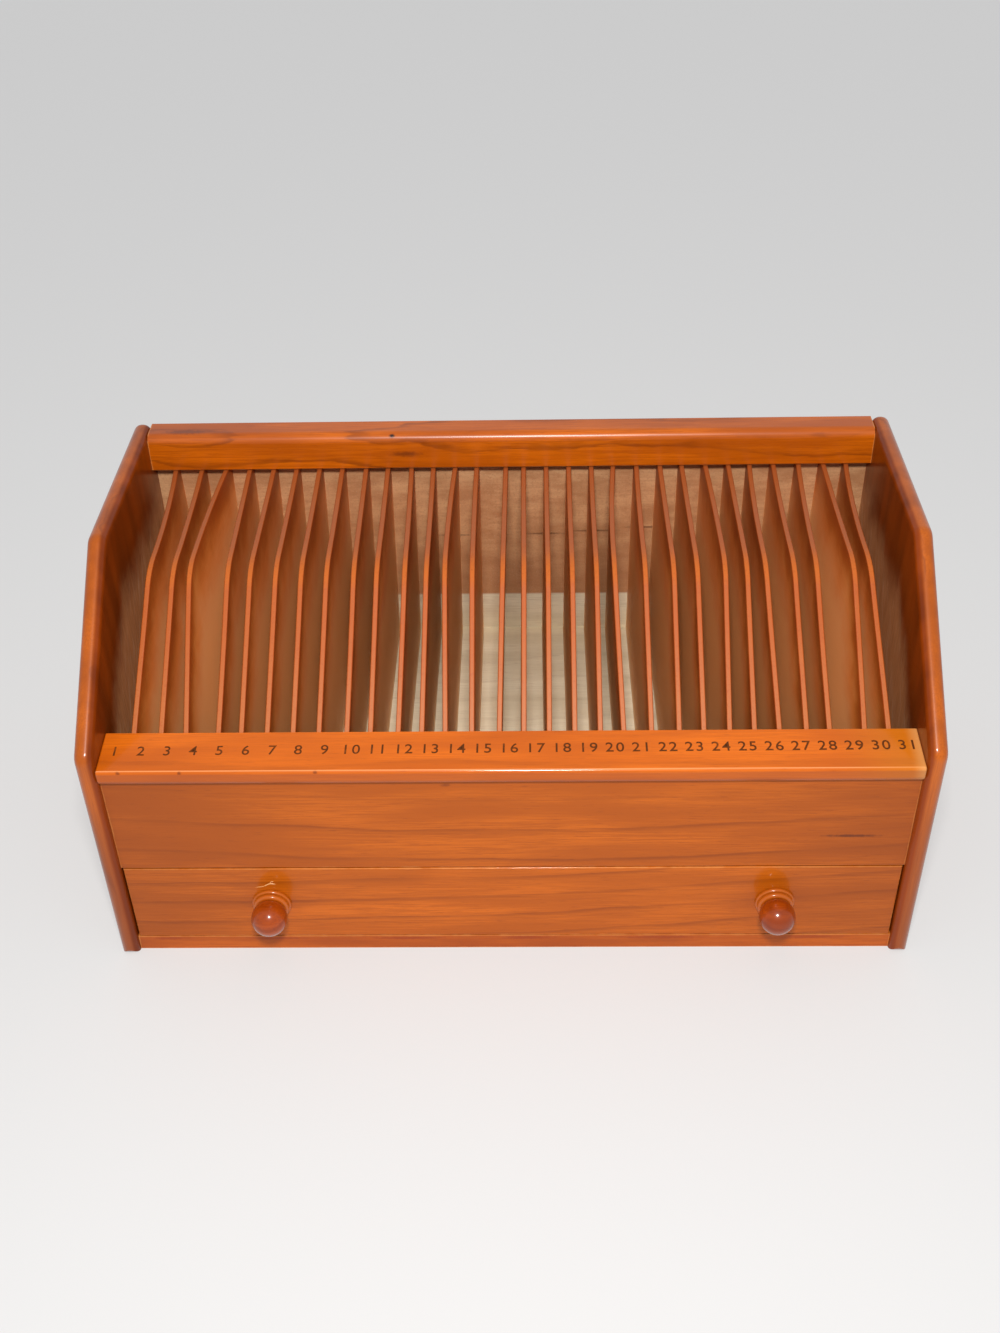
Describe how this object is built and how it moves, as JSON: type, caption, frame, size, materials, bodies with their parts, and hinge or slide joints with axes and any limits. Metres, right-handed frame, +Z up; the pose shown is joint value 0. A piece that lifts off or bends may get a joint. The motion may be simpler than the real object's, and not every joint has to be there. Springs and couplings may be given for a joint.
{
  "type": "envelope sorter with drawer",
  "caption": "Wooden desk sorter with numbered upright slots between thin dividers, sloped sides, a back rail and one drawer with two turned knobs below.",
  "frame": {"origin": "middle of the carcase's flat underside", "axes": "+X to the right along the front, +Y from the front to the back, +Z up; the drawer opens along -Y"},
  "size_m": [0.394, 0.209, 0.1965],
  "materials": {
    "stained_wood": "orange-brown cherry stain under satin lacquer",
    "divider_wood": "thin stained boards, matt faces with brighter top edges",
    "knob_wood": "turned, stained and glossy",
    "raw_board": "unfinished pale board, stained along its upper part",
    "raw_wood": "unfinished",
    "steel": "plain"
  },
  "bodies": {
    "carcase": {"left_side": "stained_wood", "right_side": "stained_wood", "base_board": "stained_wood", "front_panel": "stained_wood", "slot_floor": "raw_board", "back_panel": "raw_board", "number_rail": "stained_wood", "back_rail": "stained_wood", "carcase_dowels": "raw_wood", "back_panel_pins": "steel", "divider_01": "divider_wood", "divider_02": "divider_wood", "divider_03": "divider_wood", "divider_04": "divider_wood", "divider_05": "divider_wood", "divider_06": "divider_wood", "divider_07": "divider_wood", "divider_08": "divider_wood", "divider_09": "divider_wood", "divider_10": "divider_wood", "divider_11": "divider_wood", "divider_12": "divider_wood", "divider_13": "divider_wood", "divider_14": "divider_wood", "divider_15": "divider_wood", "divider_16": "divider_wood", "divider_17": "divider_wood", "divider_18": "divider_wood", "divider_19": "divider_wood", "divider_20": "divider_wood", "divider_21": "divider_wood", "divider_22": "divider_wood", "divider_23": "divider_wood", "divider_24": "divider_wood", "divider_25": "divider_wood", "divider_26": "divider_wood", "divider_27": "divider_wood", "divider_28": "divider_wood", "divider_29": "divider_wood", "divider_30": "divider_wood"},
    "drawer": {"drawer_front": "stained_wood", "drawer_left_side": "raw_wood", "drawer_right_side": "raw_wood", "drawer_back": "raw_wood", "drawer_bottom": "raw_wood", "drawer_pins": "steel", "knob_left": "knob_wood", "knob_right": "knob_wood", "knob_screws": "steel"}
  },
  "joints": [
    {"name": "drawer_slide", "type": "slide", "parent": "carcase", "child": "drawer", "axis": [0, -1, 0], "range_m": [0, 0.14]}
  ]
}
